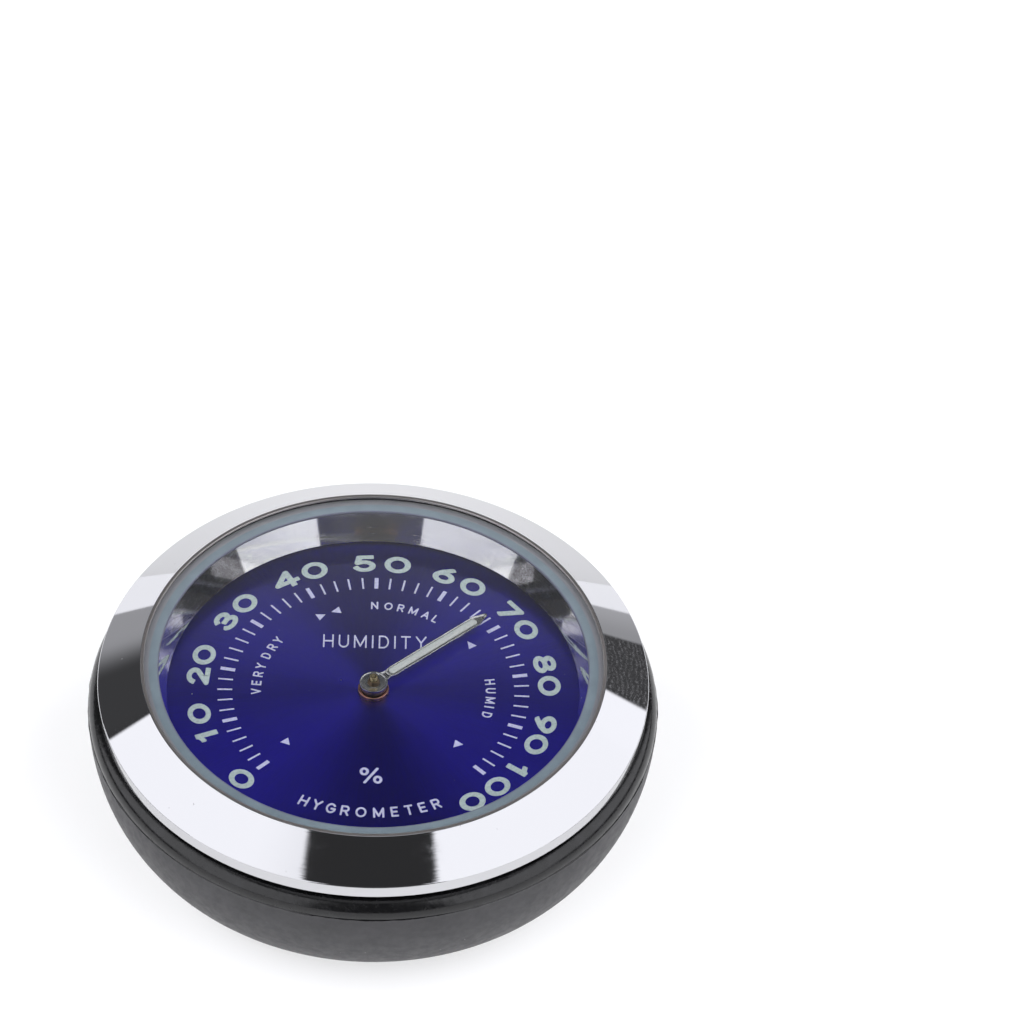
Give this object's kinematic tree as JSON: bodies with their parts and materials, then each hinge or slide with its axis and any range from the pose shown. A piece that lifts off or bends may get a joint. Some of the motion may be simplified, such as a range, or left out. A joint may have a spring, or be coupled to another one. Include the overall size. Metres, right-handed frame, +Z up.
{
  "type": "dial hygrometer",
  "caption": "Small round dial hygrometer: chromed conical bezel, flat crystal and spring-wound pointer in a black bowl base that sticks down by a foam pad.",
  "frame": {"origin": "middle of the underside of the adhesive pad, on the surface that the base stands on", "axes": "+Z up out of the dial along the pointer's axis, +Y towards the dial's 50 mark, +X to the reader's right"},
  "size_m": [0.0428, 0.0428, 0.0152],
  "materials": {
    "foam": "matt black closed-cell foam",
    "base_plastic": "black moulded plastic, fine matt texture with a glossy band under the bezel",
    "case_plastic": "dark grey moulded plastic",
    "chrome": "bright chrome plate with light dust and fine scratches",
    "crystal_glass": "clear flat glass with a faint green edge",
    "gasket": "pale blue-grey plastic seen through the crystal",
    "reflector": "polished and finely brushed cone",
    "dial": "deep blue sunburst lacquer over radial brushing",
    "plate_brass": "turned and stamped brass",
    "copper": "reddish turned brass",
    "steel": "bright steel",
    "sensor_strip": "thin laminated strip, metal outside and treated film inside",
    "pointer_brass": "fine turned brass",
    "pointer_steel": "stamped steel with bright edges",
    "lume": "pale grey-green luminous paint"
  },
  "bodies": {
    "base": {"base_shell": "base_plastic", "adhesive_pad": "foam"},
    "gauge": {"gauge_case": "case_plastic", "bezel": "chrome", "crystal": "crystal_glass", "crystal_gasket": "gasket", "reflector_ring": "reflector", "dial_plate": "dial", "movement_plate": "plate_brass", "centre_bush": "copper", "bush_nut": "plate_brass", "spacer_washer": "steel", "pillar_1": "plate_brass", "pillar_2": "plate_brass", "pillar_3": "plate_brass", "pillar_screw_1": "steel", "pillar_screw_2": "steel", "pillar_screw_3": "steel", "dial_foot_1": "copper", "dial_foot_2": "copper"},
    "calibrator": {"calibration_screw": "plate_brass", "friction_washer": "steel", "regulator_arm": "steel", "coil_stud": "plate_brass", "sensor_coil": "sensor_strip"},
    "pointer": {"pointer_arbor": "pointer_brass", "coil_collet": "plate_brass", "pointer_boss": "pointer_steel", "pointer_hand": "pointer_steel", "pointer_lume": "lume"}
  },
  "joints": [
    {"name": "gauge_pull", "type": "slide", "parent": "base", "child": "gauge", "axis": [0, 0, 1], "range_m": [0, 0.012]},
    {"name": "calibration_turn", "type": "hinge", "parent": "gauge", "child": "calibrator", "pos_m": [0, 0, 0.0042], "axis": [0, 0, 1], "range_deg": [-20, 20]},
    {"name": "pointer_turn", "type": "hinge", "parent": "calibrator", "child": "pointer", "pos_m": [0, 0, 0.0121], "axis": [0, 0, -1], "range_deg": [-183.1, 84.9], "stiffness_Nm_per_rad": 0.00001, "deforming": ["sensor_coil"]}
  ]
}
